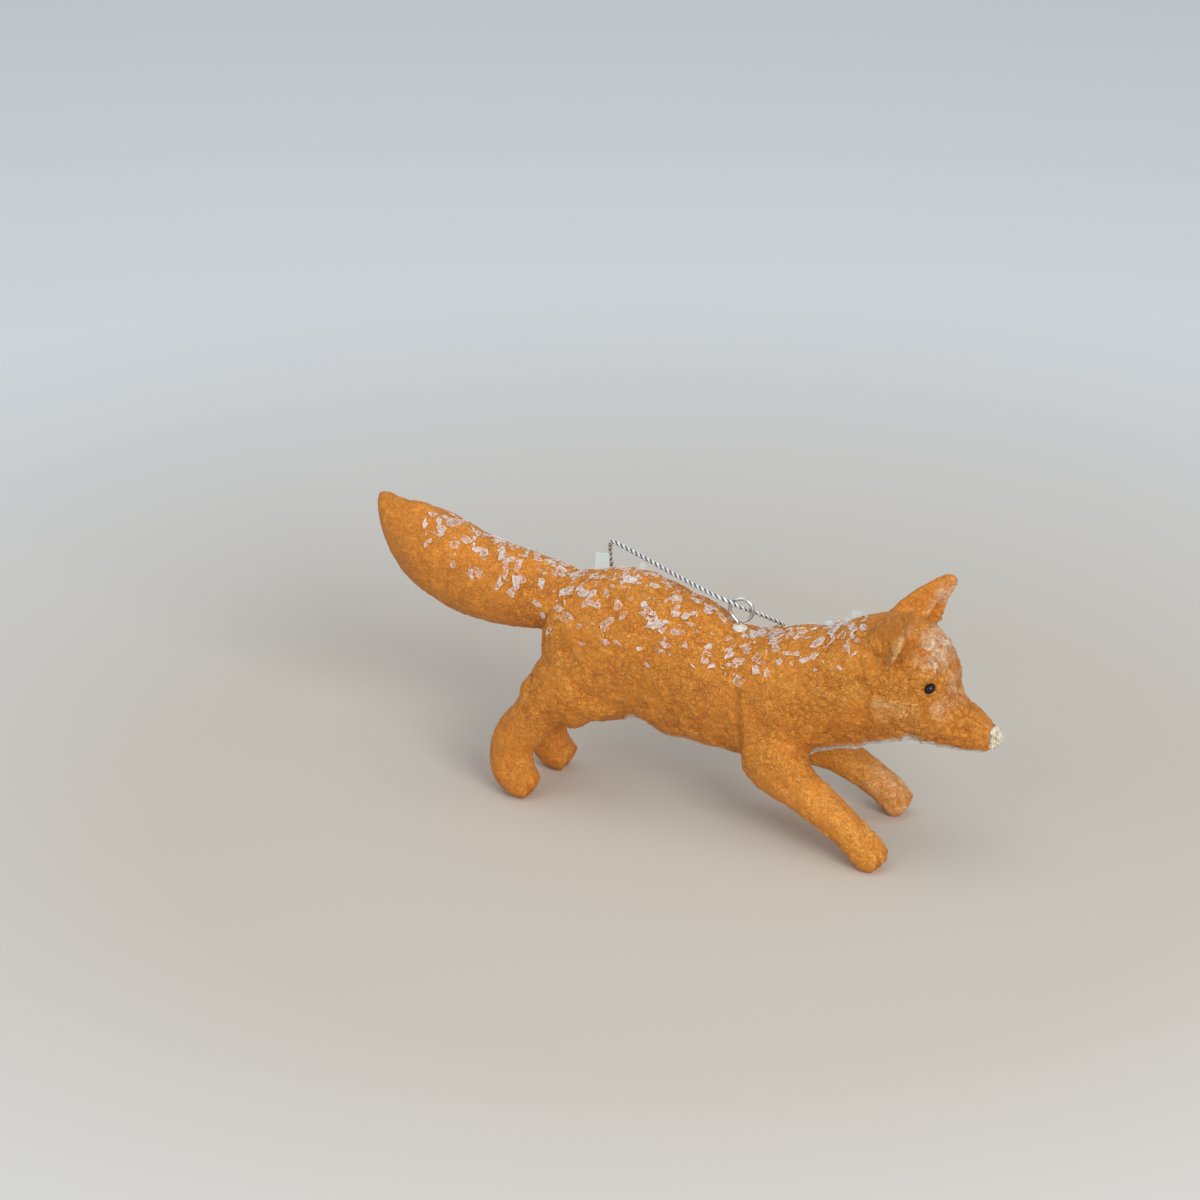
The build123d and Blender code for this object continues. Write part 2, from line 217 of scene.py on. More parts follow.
class Finish:
    """A material, or the world, and the one way of adding nodes to it"""

    def __init__(self, name, owner=None):
        self.owner = owner or bpy.data.materials.new(name)
        self.owner.use_nodes = True
        self.tree = self.owner.node_tree
        self.tree.nodes.clear()

    def feed(self, slot, item):
        if isinstance(item, Value):
            self.tree.links.new(item.socket, slot)
        elif slot.type == "RGBA" and len(item) == 3:
            slot.default_value = (*item, 1.0)
        else:
            slot.default_value = item

    def node(self, kind, settings=None, output=0, **sockets):
        """Adds a node: its settings first, then its sockets by name or number"""
        made = self.tree.nodes.new("ShaderNode" + kind)
        for key, item in (settings or {}).items():
            setattr(made, key, item)
        for key, item in sockets.items():
            if key.startswith("i") and key[1:].isdigit():
                slot = made.inputs[int(key[1:])]
            else:
                slot = made.inputs[key.replace("_", " ")]
            self.feed(slot, item)
        return Value(self, made.outputs[output])

    def colour_mix(self, factor, first, second):
        settings = {"data_type": "RGBA", "clamp_factor": True}
        return self.node("Mix", settings, 2, i0=factor, i6=first, i7=second)

    def attribute(self, name):
        return self.node("Attribute", {"attribute_name": name}, 2)

    def place(self):
        return self.node("TexCoord", None, 3)

    def noise(self, scale, detail=3.0, rough=0.5, warp=0.0, output=0):
        sockets = {"Scale": scale, "Detail": detail, "Roughness": rough, "Distortion": warp}
        return self.node("TexNoise", None, output, Vector=self.place(), **sockets)

    def bump(self, height, distance, strength):
        return self.node("Bump", None, 0, Height=height, Distance=distance, Strength=strength)

    def surface(self, **sockets):
        shader = self.node("BsdfPrincipled", None, 0, **sockets)
        out = self.tree.nodes.new("ShaderNodeOutputMaterial")
        self.tree.links.new(shader.socket, out.inputs["Surface"])
        return self.owner


# Finishes

# Cells for each metre of skin: torn scraps, smaller scraps, and the crackle of the paint
SCRAP_CELLS = 300.0
SMALL_SCRAP_CELLS = 760.0
CRACKLE_CELLS = 620.0
CREASE_SHADE = (0.44, 0.118, 0.011)
CRACK_SHADE = (0.42, 0.110, 0.010)
FIBRE_LIGHT = (0.88, 0.50, 0.18)


def hairline(value, steepness):
    """1 where the value is 0, and soon gone beside it"""
    return (1.0 - value * steepness).clamped()


def shaken(look, place, scale, reach):
    """A place moved about by noise, so that what is drawn there runs crooked"""
    stir = look.noise(scale, 2.0, output=1)
    stir = look.node("VectorMath", {"operation": "SCALE"}, 0, i0=stir, Scale=reach)
    return look.node("VectorMath", {"operation": "ADD"}, 0, i0=place, i1=stir)


def cell_edges(look, scale, place):
    return look.node("TexVoronoi", {"feature": "DISTANCE_TO_EDGE"}, 0, Vector=place, Scale=scale)


def tilted_cells(look, scale, place):
    """Torn scraps: each cell a flat facet with its own tilt, and the distance to its edge"""
    colour = look.node("TexVoronoi", None, 1, Vector=place, Scale=scale)
    middle = look.node("TexVoronoi", None, 2, Vector=place, Scale=scale)
    lean = look.node("VectorMath", {"operation": "SUBTRACT"}, 0, i0=colour, i1=(0.5, 0.5, 0.5))
    reach = look.node("VectorMath", {"operation": "SUBTRACT"}, 0, i0=place, i1=middle)
    facet = look.node("VectorMath", {"operation": "DOT_PRODUCT"}, 1, i0=lean, i1=reach) * scale
    return facet, cell_edges(look, scale, place)


def painted_paper_finish():
    look = Finish("painted_paper")
    tones = paper()
    relief = look.attribute("relief")
    pale = look.attribute("pale")
    bare = look.attribute("bare")
    # Painted light and shade, set for each point of the mesh
    sun = look.attribute("sunned")
    wrinkled = look.attribute("wrinkled")
    # Scraps, with crooked edges, and the crackle of the paint over them
    bent = shaken(look, look.place(), 260.0, 0.0022)
    facet, edge = tilted_cells(look, SCRAP_CELLS, bent)
    small_facet, small_edge = tilted_cells(look, SMALL_SCRAP_CELLS, bent)
    crackle = cell_edges(look, CRACKLE_CELLS, shaken(look, bent, 700.0, 0.0016))
    cracked = ((look.noise(150.0, 2.0) - 0.36) * 5.0).clamped()
    creased = (look.noise(210.0, 2.0) * 2.4 - 0.7).clamped()
    crack = hairline(crackle, 16.0) * cracked * wrinkled
    crease = hairline(edge, 16.0) * creased * wrinkled
    small_crease = hairline(small_edge, 9.0) * wrinkled
    # Brush marks and loose fibres
    broad = look.noise(80.0)
    streak = look.noise(520.0, 5.0, 0.6, 0.5)
    fine = look.noise(2100.0, 4.0, 0.6)
    fibre = hairline(abs(look.noise(640.0, 3.0, 0.5, 1.4) - 0.5), 26.0)
    height = facet * 1.9 + small_facet * 0.9 + (streak - 0.5) * 2.4 + (fine - 0.5) * 0.5
    height = height * (0.25 + wrinkled * 0.75)
    height = height - crease * 0.25 - small_crease * 0.10 + fibre * 0.35 - crack * 0.5
    # Painted shade in the hollows and painted highlight on the ridges and lit faces, over a brushed
    # tone
    shade = 0.5 + (relief - 0.5) * 0.8 + facet * 0.30 + small_facet * 0.15 + (streak - 0.5) * 0.8
    shade = (shade - 0.5) * (0.4 + wrinkled * 0.6) + 0.5 + (broad - 0.5) * 0.5 + (sun - 0.5) * 0.45
    colour = look.colour_mix((0.48 - shade) * 1.7, tones.ochre, tones.rust)
    colour = look.colour_mix((shade - 0.54) * 1.7, colour, tones.honey)
    colour = look.colour_mix(crease * 0.3, colour, CREASE_SHADE)
    colour = look.colour_mix(crack * 0.50, colour, CRACK_SHADE)
    colour = look.colour_mix(fibre * 0.26, colour, FIBRE_LIGHT)
    # Pale brushing, partly a painted highlight, and the bare underside
    blush_and_highlight = (pale * (0.60 + (streak - 0.5) * 1.6 + facet * 0.8 + (relief - 0.5) * 0.9)).clamped()
    colour = look.colour_mix(blush_and_highlight, colour, tones.blush)
    bare_mask = ((bare - 0.5) * 5.0 + 0.5 + (streak - 0.5) * 1.5).clamped()
    colour = look.colour_mix(bare_mask, colour, tones.cream)
    normal = look.bump(height, 0.00050, 0.9)
    rough = (0.50 + (streak - 0.5) * 0.22 + crease * 0.2 - (relief - 0.5) * 0.12).clamped()
    return look.surface(
        Base_Color=colour, Roughness=rough, Normal=normal, IOR=1.45, Specular_IOR_Level=0.36
    )


def mica_finish():
    look = Finish("mica_flakes")
    edge = look.attribute("edge")
    tone = look.attribute("tone")
    clear = look.attribute("clear")
    frost = look.noise(1300.0, 4.0, 0.7)
    layers = look.noise(420.0, 2.0, 0.5, 0.8)
    lines = hairline(abs(layers - 0.5), 14.0)
    white = (frost * 0.9 + edge * 0.35 + lines * 0.3 - 0.1).clamped()
    colour = look.colour_mix(white, (0.80, 0.62, 0.50), (0.95, 0.92, 0.90))
    colour = look.colour_mix(clear, colour, (0.74, 0.88, 0.90))
    alpha = tone * 0.30 + edge * 0.34 + (frost - 0.5) * 1.7 + lines * 0.30 - 0.02
    alpha = (alpha * (1.0 - clear) + clear * (0.17 + edge * 0.14)).clamped()
    normal = look.bump(frost + layers, 0.00018, 0.5)
    return look.surface(
        Base_Color=colour, Roughness=0.30, Alpha=alpha, Normal=normal, IOR=1.56,
        Coat_Weight=0.3, Coat_Roughness=0.15,
    )


def nose_finish():
    look = Finish("cream_nose_paste")
    lump = look.noise(1100.0, 5.0, 0.65)
    pits = look.node("TexVoronoi", None, 0, Vector=look.place(), Scale=1700.0)
    depth = ((0.54 - lump) * 5.0 + (0.35 - pits) * 0.8).clamped()
    colour = look.colour_mix(depth, trim().nose_cream, (0.42, 0.24, 0.08))
    normal = look.bump(lump + pits * 0.4, 0.00035, 0.8)
    return look.surface(Base_Color=colour, Roughness=0.82, Normal=normal, Specular_IOR_Level=0.25)


def bead_finish():
    look = Finish("black_glass_bead")
    haze = look.noise(700.0, 3.0, 0.6)
    rough = 0.10 + haze * 0.10
    colour = look.colour_mix(haze * 0.4, (0.004, 0.004, 0.005), (0.012, 0.011, 0.012))
    return look.surface(Base_Color=colour, Roughness=rough, IOR=1.45, Specular_IOR_Level=0.35)


def bright_wire_finish():
    look = Finish("bright_wire")
    draw = look.noise(1500.0, 3.0, 0.6)
    tarnish = look.noise(500.0, 4.0, 0.6)
    colour = look.colour_mix((tarnish - 0.35).clamped(), (0.60, 0.59, 0.57), (0.38, 0.35, 0.30))
    normal = look.bump(draw, 0.00003, 0.25)
    return look.surface(Base_Color=colour, Metallic=1.0, Roughness=0.16 + tarnish * 0.16, Normal=normal)


def cord_finish():
    look = Finish("silver_thread")
    inner = look.attribute("inner")
    fibre = look.noise(3800.0, 3.0, 0.6)
    glint = ((look.noise(1500.0, 2.0, 0.6) - 0.40) * 3.2).clamped()
    colour = look.colour_mix(glint, (0.70, 0.71, 0.73), trim().silver)
    # Painted shade in the gaps between the twisted strands
    colour = look.colour_mix((inner * 1.1).clamped(), colour, (0.10, 0.10, 0.11))
    normal = look.bump(fibre, 0.00010, 0.7)
    return look.surface(Base_Color=colour, Metallic=0.35, Roughness=0.20 + fibre * 0.2, Normal=normal)


def glue_finish():
    look = Finish("whitish_glue")
    cloud = look.noise(900.0, 3.0, 0.6)
    colour = look.colour_mix(cloud, (0.70, 0.56, 0.42), (0.86, 0.82, 0.76))
    normal = look.bump(cloud, 0.0002, 0.5)
    return look.surface(
        Base_Color=colour, Roughness=0.2 + cloud * 0.15, Coat_Weight=0.4, Normal=normal
    )


def pulp_finish():
    look = Finish("unpainted_pulp")
    clump = look.noise(700.0, 4.0, 0.65)
    colour = look.colour_mix(clump, (0.60, 0.55, 0.46), (0.78, 0.74, 0.66))
    return look.surface(Base_Color=colour, Roughness=0.9, Normal=look.bump(clump, 0.0004, 0.7))


def armature_wire_finish():
    look = Finish("armature_wire")
    rust = look.noise(800.0, 4.0, 0.65)
    colour = look.colour_mix((rust * 2.0 - 0.9).clamped(), (0.42, 0.41, 0.40), (0.24, 0.15, 0.09))
    return look.surface(Base_Color=colour, Metallic=0.9, Roughness=0.35 + rust * 0.3)


# Mesh help


def new_piece(name, mesh, material, body):
    thing = bpy.data.objects.new(name, mesh)
    bpy.context.scene.collection.objects.link(thing)
    mesh.materials.clear()
    mesh.materials.append(material)
    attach(thing, body)
    return thing


def mesh_from(name, points, faces, smooth=True):
    mesh = bpy.data.meshes.new(name)
    mesh.from_pydata([tuple(p) for p in points], [], [tuple(f) for f in faces])
    mesh.validate()
    mesh.update()
    mesh.polygons.foreach_set("use_smooth", [smooth] * len(mesh.polygons))
    return mesh


def vertex_values(mesh, name, values):
    layer = mesh.attributes.new(name, "FLOAT", "POINT")
    layer.data.foreach_set("value", np.asarray(values, dtype=np.float32))


def read_all(items, key, width, kind=np.float32):
    """One property of every point or edge of a mesh, a row for each"""
    flat = np.empty(len(items) * width, dtype=kind)
    items.foreach_get(key, flat)
    return flat.reshape(-1, width)


def points_of(mesh):
    return read_all(mesh.vertices, "co", 3).astype(float)


def normals_of(mesh):
    return read_all(mesh.vertices, "normal", 3).astype(float)


def edges_of(mesh):
    return read_all(mesh.edges, "vertices", 2, np.int32)


def move_points(mesh, points):
    """Moves every point of a mesh to its new place, given in millimetres"""
    mesh.vertices.foreach_set("co", (points * MM).astype(np.float32).ravel())
    mesh.update()


def settled(data, modifier=None, **settings):
    """The mesh that a curve or a mesh gives once a modifier has run on it"""
    draft = bpy.data.objects.new("draft", data)
    bpy.context.scene.collection.objects.link(draft)
    if modifier:
        made = draft.modifiers.new(modifier.lower(), modifier)
        for key, value in settings.items():
            setattr(made, key, value)
    graph = bpy.context.evaluated_depsgraph_get()
    mesh = bpy.data.meshes.new_from_object(draft.evaluated_get(graph))
    bpy.data.objects.remove(draft)
    return mesh


def ring_faces(base, rings, segments):
    """Quads between neighbouring rings of points, the first of which starts at base"""
    faces = []
    for ring in range(rings - 1):
        for step in range(segments):
            a = base + ring * segments + step
            b = base + ring * segments + (step + 1) % segments
            faces.append((a, b, b + segments, a + segments))
    return faces


def tube_faces(base, rings, segments):
    """Ring faces with a cap at each end"""
    last = base + (rings - 1) * segments
    first_cap = tuple(base + step for step in reversed(range(segments)))
    last_cap = tuple(last + step for step in range(segments))
    return [*ring_faces(base, rings, segments), first_cap, last_cap]


def bubble(centre, radii, turn=(0.0, 0.0, 0.0), rings=14, segments=20):
    """Points and faces of a lump, its sizes in millimetres and its turns in degrees"""
    x_turn, y_turn, z_turn = (math.radians(degrees) for degrees in turn)
    spin = Matrix.Rotation(z_turn, 3, "Z") @ Matrix.Rotation(y_turn, 3, "Y")
    spin = spin @ Matrix.Rotation(x_turn, 3, "X")
    points = []
    for ring in range(rings + 1):
        down = math.pi * ring / rings
        for step in range(segments):
            around = 2 * math.pi * step / segments
            local = Vector((
                radii[0] * math.sin(down) * math.cos(around),
                radii[1] * math.sin(down) * math.sin(around),
                radii[2] * math.cos(down),
            ))
            points.append((Vector(centre) + spin @ local) * MM)
    faces = [(a, d, c, b) for a, b, c, d in ring_faces(0, rings + 1, segments)]
    return points, faces


def relaxed(points, edges, normals, rounds, hollow_weight, ridge_weight):
    """Smoothing that fills hollows faster than it wears down ridges; a weight for each point"""
    count = np.bincount(edges.ravel(), minlength=len(points)).astype(float)
    count[count == 0] = 1
    for _ in range(rounds):
        total = np.zeros_like(points)
        for axis in range(3):
            total[:, axis] += np.bincount(edges[:, 0], points[edges[:, 1], axis], len(points))
            total[:, axis] += np.bincount(edges[:, 1], points[edges[:, 0], axis], len(points))
        step = total / count[:, None] - points
        hollow = (step * normals).sum(axis=1) > 0
        points = points + step * np.where(hollow, hollow_weight, ridge_weight)[:, None]
    return points


def falloff(points, centre, radius):
    """1 at a place in millimetres, easing to 0 at the radius"""
    far = np.linalg.norm(points - np.array(centre), axis=1) / radius
    near = np.clip(1 - far, 0, 1)
    return near * near * (3 - 2 * near)


def spots(points, rows):
    """The sum of soft round spots, each with its middle, radius and strength"""
    return sum(strength * falloff(points, middle, radius) for middle, radius, strength in rows)


def rise(values, start, length):
    """0 up to the start, and 1 from a length further on"""
    return np.clip((values - start) / length, 0, 1)


def fall(values, end, length):
    """0 from the end on, and 1 until a length before it"""
    return np.clip((end - values) / length, 0, 1)


def bell(values, middle, width):
    """1 at the middle, and soon gone a width away"""
    return np.exp(-(((values - middle) / width) ** 2))


# The paper skin

SKIN_NODES = (
    "torso_skin", "head_skin", "tail_skin", "front_leg_right", "front_leg_left",
    "hind_leg_right", "hind_leg_left", "ear_right", "ear_left",
)
CORE_NODES = (
    "torso_core", "head_core", "tail_core", "spine_wire", "front_leg_wire", "hind_leg_wire",
)

# Lumps melted into the skin: middle, radii and turns, in millimetres and degrees
SOFT_LUMPS = [
    ((-34.2, -9.0, 27.2), (2.4, 2.6, 3.0), (0, 35, 0)),
    ((-36.8, -9.2, 3.2), (3.9, 4.1, 3.2), (0, 0, 0)),
    ((-35.0, 7.7, 3.3), (4.4, 4.0, 3.3), (0, 0, 0)),
    ((50.6, -14.4, 3.0), (3.4, 3.8, 3.0), (0, 0, 0)),
    ((46.6, 14.8, 3.1), (3.3, 3.8, 3.1), (0, 0, 0)),
    ((-19.0, -8.3, 24.7), (6.0, 3.5, 2.7), (0, -4, 0)),
    ((-36.6, -9.1, 8.0), (3.4, 3.6, 4.2), (0, 0, 0)),
    ((-70.6, -0.3, 62.5), (4.6, 2.6, 2.7), (0, 12, 0)),
    ((-65.8, -0.3, 62.0), (5.4, 2.7, 3.1), (0, 0, 0)),
    ((-74.3, -0.1, 64.6), (1.4, 0.9, 1.4), (0, 10, 0)),
    ((57.4, -12.0, 58.2), (1.2, 1.3, 3.6), (0, 22, 0)),
    ((54.4, -11.4, 51.8), (1.3, 1.5, 4.6), (0, 24, 0)),
    ((57.6, 12.0, 58.4), (1.2, 1.3, 3.6), (0, 22, 0)),
    ((54.4, 11.4, 51.8), (1.3, 1.5, 4.6), (0, 24, 0)),
]

# Ear leaves: the tip, then rows of place along the axis as a share, half width and half
# thickness in millimetres
EAR_ROOT = Vector((48.4, 6.0, 47.9))
NEAR_EAR = (
    Vector((58.5, 11.4, 61.6)),
    (
        (0.1, 5.2, 3.0), (0.35, 4.5, 2.4), (0.6, 3.6, 1.8),
        (0.8, 2.6, 1.4), (0.93, 1.8, 1.1), (1.0, 0.9, 0.6),
    ),
)
FAR_EAR = (
    Vector((59.4, 11.4, 61.8)),
    (
        (0.1, 5.6, 3.0), (0.35, 5.4, 2.4), (0.6, 4.3, 1.8),
        (0.8, 3.1, 1.4), (0.93, 2.1, 1.1), (1.0, 1.0, 0.6),
    ),
)


def ear_leaf(tip, rows, side, segments=24):
    """A closed leaf from the ear's root to its tip, on the right (-1) or left (1) side"""
    root = Vector((EAR_ROOT.x, side * EAR_ROOT.y, EAR_ROOT.z))
    axis = Vector((tip.x, side * tip.y, tip.z)) - root
    lean = axis.normalized()
    wide = (Vector((0, 0, -1)) + lean * lean.z).normalized()
    thick = lean.cross(wide)
    points = []
    for share, half_width, half_thickness in rows:
        for step in range(segments):
            turn = 2 * math.pi * step / segments
            spot = wide * half_width * math.cos(turn) + thick * half_thickness * math.sin(turn)
            points.append((root + axis * share + spot) * MM)
    return points, tube_faces(0, len(rows), segments)


def melted_skin_mesh(voxel):
    """One closed skin over the solids: their outer surface with the joints melted together"""
    lumps = []
    for node in SKIN_NODES + CORE_NODES:
        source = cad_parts[node]
        corners = [source.matrix_world @ v.co for v in source.data.vertices]
        lumps.append((corners, [tuple(p.vertices) for p in source.data.polygons]))
    lumps += [bubble(centre, radii, turn) for centre, radii, turn in SOFT_LUMPS]
    lumps += [ear_leaf(*NEAR_EAR, -1), ear_leaf(*FAR_EAR, 1)]
    points, faces = [], []
    for lump_points, lump_faces in lumps:
        base = len(points)
        points += lump_points
        faces += [tuple(base + i for i in f) for f in lump_faces]
    mesh = bpy.data.meshes.new("lumps")
    mesh.from_pydata([tuple(p) for p in points], [], faces)
    mesh.update()
    return outer_shell(settled(mesh, "REMESH", mode="VOXEL", voxel_size=voxel))


def outer_shell(mesh):
    """The largest connected part of a mesh, without the small bubbles inside"""
    edges = edges_of(mesh)
    label = np.arange(len(mesh.vertices))
    while True:
        low = np.minimum(label[edges[:, 0]], label[edges[:, 1]])
        before = label.copy()
        np.minimum.at(label, edges[:, 0], low)
        np.minimum.at(label, edges[:, 1], low)
        label = label[label]
        if (label == before).all():
            break
    names, counts = np.unique(label, return_counts=True)
    keep = label == names[counts.argmax()]
    index = np.full(len(keep), -1)
    index[keep] = np.arange(keep.sum())
    points = points_of(mesh)[keep]
    faces = [[index[i] for i in p.vertices] for p in mesh.polygons if keep[p.vertices[0]]]
    return mesh_from("paper_skin", points, faces)


# Paws: middle in X and Y, in millimetres, and the side of the fox; toe creases in degrees
PAWS = [(50.4, -14.4, -1), (46.6, 14.9, 1), (-36.3, -9.1, -1), (-34.8, 7.8, 1)]
TOE_TURNS = (-26.0, 8.0, 42.0)


def paw_grooves(points):
    """How deep the creases between the toes are pressed in, in millimetres"""
    depth = np.zeros(len(points))
    for x, y, side in PAWS:
        ahead = points[:, 0] - x
        aside = points[:, 1] - y
        out = np.hypot(ahead, aside)
        turn = np.degrees(np.arctan2(aside * side, ahead))
        reach = rise(out, 1.4, 1.4) * (out < 7) * fall(points[:, 2], 6.0, 2.4)
        for toe in TOE_TURNS:
            across = np.radians(np.abs(turn - toe)) * out
            depth += 1.15 * fall(across, 0.85, 0.85) * reach
    return depth


def shaped(points, edges, normals):
    """Rounds the joints of the melted skin, points in millimetres"""
    x, z = points[:, 0], points[:, 2]
    free = 1 - fall(z, 0.6, 0.6)
    ears = rise(z, 53.5, 3) * (x > 45)
    tip = rise(x, 70, 3) + rise(-x, 66, 3)
    ridge_weight = 0.22 * free * (1 - 0.85 * ears) * (1 - 0.8 * tip)
    return relaxed(points, edges, normals, 26, 0.62 * free, ridge_weight)


def skin_relief(points):
    """Offset along the normal in millimetres, and the relief from 0 to 1 for painted shade and
    highlight
    """
    count = len(points)
    scrap = np.zeros(count)
    fine = np.zeros(count)
    swell = np.zeros(count)
    for i, place in enumerate(points):
        p = Vector(place)
        bend = noise.noise_vector(p * 0.33) * 1.3 + noise.noise_vector(p * 0.9) * 0.5
        # A torn scrap is a tilted cell with a height of its own
        spot = (p + bend) * 0.27
        near, middles = noise.voronoi(spot)
        lean = noise.cell_vector(middles[0] * 5.7).dot(spot - middles[0])
        height = noise.cell(middles[0] * 7.3) - 0.5
        border = min(1.0, (near[1] - near[0]) * 9)
        scrap[i] = lean * 1.5 * border + height * 0.5 * border - 0.28 * (1 - border)
        # Fine wrinkles run over the scraps
        spot = (p + bend * 0.6) * 0.62
        _, middles = noise.voronoi(spot)
        fine[i] = noise.cell_vector(middles[0] * 3.1).dot(spot - middles[0]) * 0.8
        ridge = 1 - abs(noise.noise(p * 0.7 + bend * 0.5)) * 4.0
        fine[i] += 0.5 * max(0.0, ridge) ** 2
        swell[i] = noise.fractal(p * 0.13, 0.9, 2.1, 2)
    x, y, z = points.T
    head = rise(x, 40, 8)
    tail = rise(-x, 34, 8)
    legs = fall(z, 20, 6)
    ears = rise(z, 52.5, 2) * head
    torn = falloff(np.c_[x, np.abs(y), z], (55.5, 9.0, 50.5), 5.5)
    strength = (1.15 + 0.75 * head - 0.5 * tail) * (1 - 0.45 * legs)
    strength *= (1 - 0.7 * ears) * (1 + 1.5 * torn) * (1 - 0.8 * fall(z, 0.8, 0.8))
    scrap_step = paper().scrap_step / MM
    wrinkle = paper().wrinkle / MM
    offset = (scrap * 1.3 * scrap_step + (fine - 0.1) * wrinkle) * strength + swell * 0.13
    relief = np.clip(0.5 + scrap * 0.42 + (fine - 0.12) * 0.5, 0, 1)
    return offset, relief


# Swellings and hollows on both sides, and the flat top before the tail's tip: middle,
# radius and height in millimetres
SWELLINGS = [
    ((56.0, 10.0, 35.0), 7.0, 0.60),
    ((65.5, 6.0, 38.0), 4.5, -0.55),
    ((60.0, 8.0, 46.5), 3.6, 0.50),
]
TAIL_FLAT = [((-57.0, -1.0, 62.0), 6.5, -0.9)]
EYE_MIDDLE = np.array((61.0, 8.6, 43.0))
EYE_REACH = np.array((1.9, 2.4, 1.5))


def before_ear(x, z):
    """How far a place lies in front of the ears' front rims, in millimetres"""
    return x - (51.9 + 0.43 * (z - 47))


def feature_offsets(points, normals):
    """Creases and swellings in millimetres along the normal, and the painted shade in the creases"""
    x, y, z = points.T
    side = np.abs(y)
    mirrored = np.c_[x, side, z]
    offset = spots(mirrored, SWELLINGS) + spots(points, TAIL_FLAT)
    # Crease behind the shoulder, deepest at the belly, with painted shade in it
    line = 17.0 + 0.5 * np.sin((z - 20) * 0.21)
    groove = bell(x, line, 1.0) * rise(z, 16, 3) * fall(z, 48, 10)
    groove *= (0.42 + 0.45 * fall(z, 26, 6)) * rise(side, 5, 3)
    step = rise(x, line, 2.2) * fall(x, 26, 8) * fall(z, 44, 8)
    offset += 0.35 * step * rise(side, 6, 3) * rise(z, 18, 5) - groove
    painted_crease_shade = 1.5 * groove
    # Raised rear edge of the cheek, with painted shade just behind it
    ahead = x - (47.7 + 0.03 * (z - 37) ** 2)
    cheek = rise(ahead, 0, 0.9) * fall(ahead, 6, 6)
    offset += 0.7 * cheek * falloff(mirrored, (50.0, 11.0, 38.0), 9.0)
    behind = fall(np.abs(ahead + 0.3), 0.8, 0.8)
    painted_crease_shade += 0.45 * behind * falloff(mirrored, (48.0, 11.0, 38.0), 8.0)
    # Crease from the eye back along the lid, with painted shade in it
    lid = np.abs((z - 40.4) - (x - 54.9) * 0.52)
    lid = fall(lid, 0.5, 0.5) * falloff(mirrored, (57.0, 9.3, 41.4), 3.6)
    offset -= 0.45 * lid
    painted_crease_shade += 0.5 * lid
    # Ear hollow, facing forward and outward
    forward = np.clip(normals[:, 0] * 1.2 - 0.15, 0, 1)
    offset -= 1.3 * falloff(mirrored, (57.2, 10.6, 57.0), 4.6) * forward
    # Front rim of the ear standing over the brow, a painted shadow in the trench before it and a
    # painted highlight on the rim
    rim = before_ear(x, z)
    band = np.clip(falloff(mirrored, (54.5, 10.0, 52.0), 9.0) * 1.6, 0, 1) * rise(side, 4.5, 2)
    trench = bell(rim, 1.5, 0.8) * band
    offset -= 1.1 * trench
    painted_crease_shade += 0.7 * trench - 0.6 * bell(rim, 0.0, 0.9) * band
    # Shallow eye socket with a soft lid above
    eye = np.linalg.norm((mirrored - EYE_MIDDLE) / EYE_REACH, axis=1)
    offset -= 0.38 * np.exp(-(eye**2) * 0.9)
    offset += 0.30 * bell(eye, 1.55, 0.42) * np.clip((z - 42.6) / 1.2, 0.25, 1)
    # Grooves between the toes, with painted shade in them
    toes = paw_grooves(points)
    offset -= toes
    painted_crease_shade += 0.8 * toes
    return offset, painted_crease_shade


# Where paint is brushed pale, partly as a painted highlight, and where painted light and
# shade fall, on both sides or on one place: middle and radius in millimetres, and strength
PALE_PAIRS = [
    ((61.5, 2.5, 51.0), 7.5, 1.00),
    ((59.5, 6.5, 49.0), 5.0, 0.75),
    ((66.5, 2.5, 41.5), 6.0, 0.65),
    ((63.0, 7.5, 38.0), 4.5, 0.42),
    ((51.0, 10.8, 38.8), 4.0, 0.28),
    ((54.0, 10.5, 37.0), 8.0, 0.10),
]
PALE_PLACES = [((46.5, 15.0, 6.0), 14.0, 0.42), ((72.0, 0.0, 30.5), 3.4, 0.55)]
PAINTED_LIGHT_PAIRS = [((56.0, 10.0, 37.0), 13.0, 0.85)]
PAINTED_SHADE_PLACES = [((0.0, -10.0, 34.0), 26.0, -0.12), ((-36.0, -6.0, 42.0), 8.0, -0.18)]


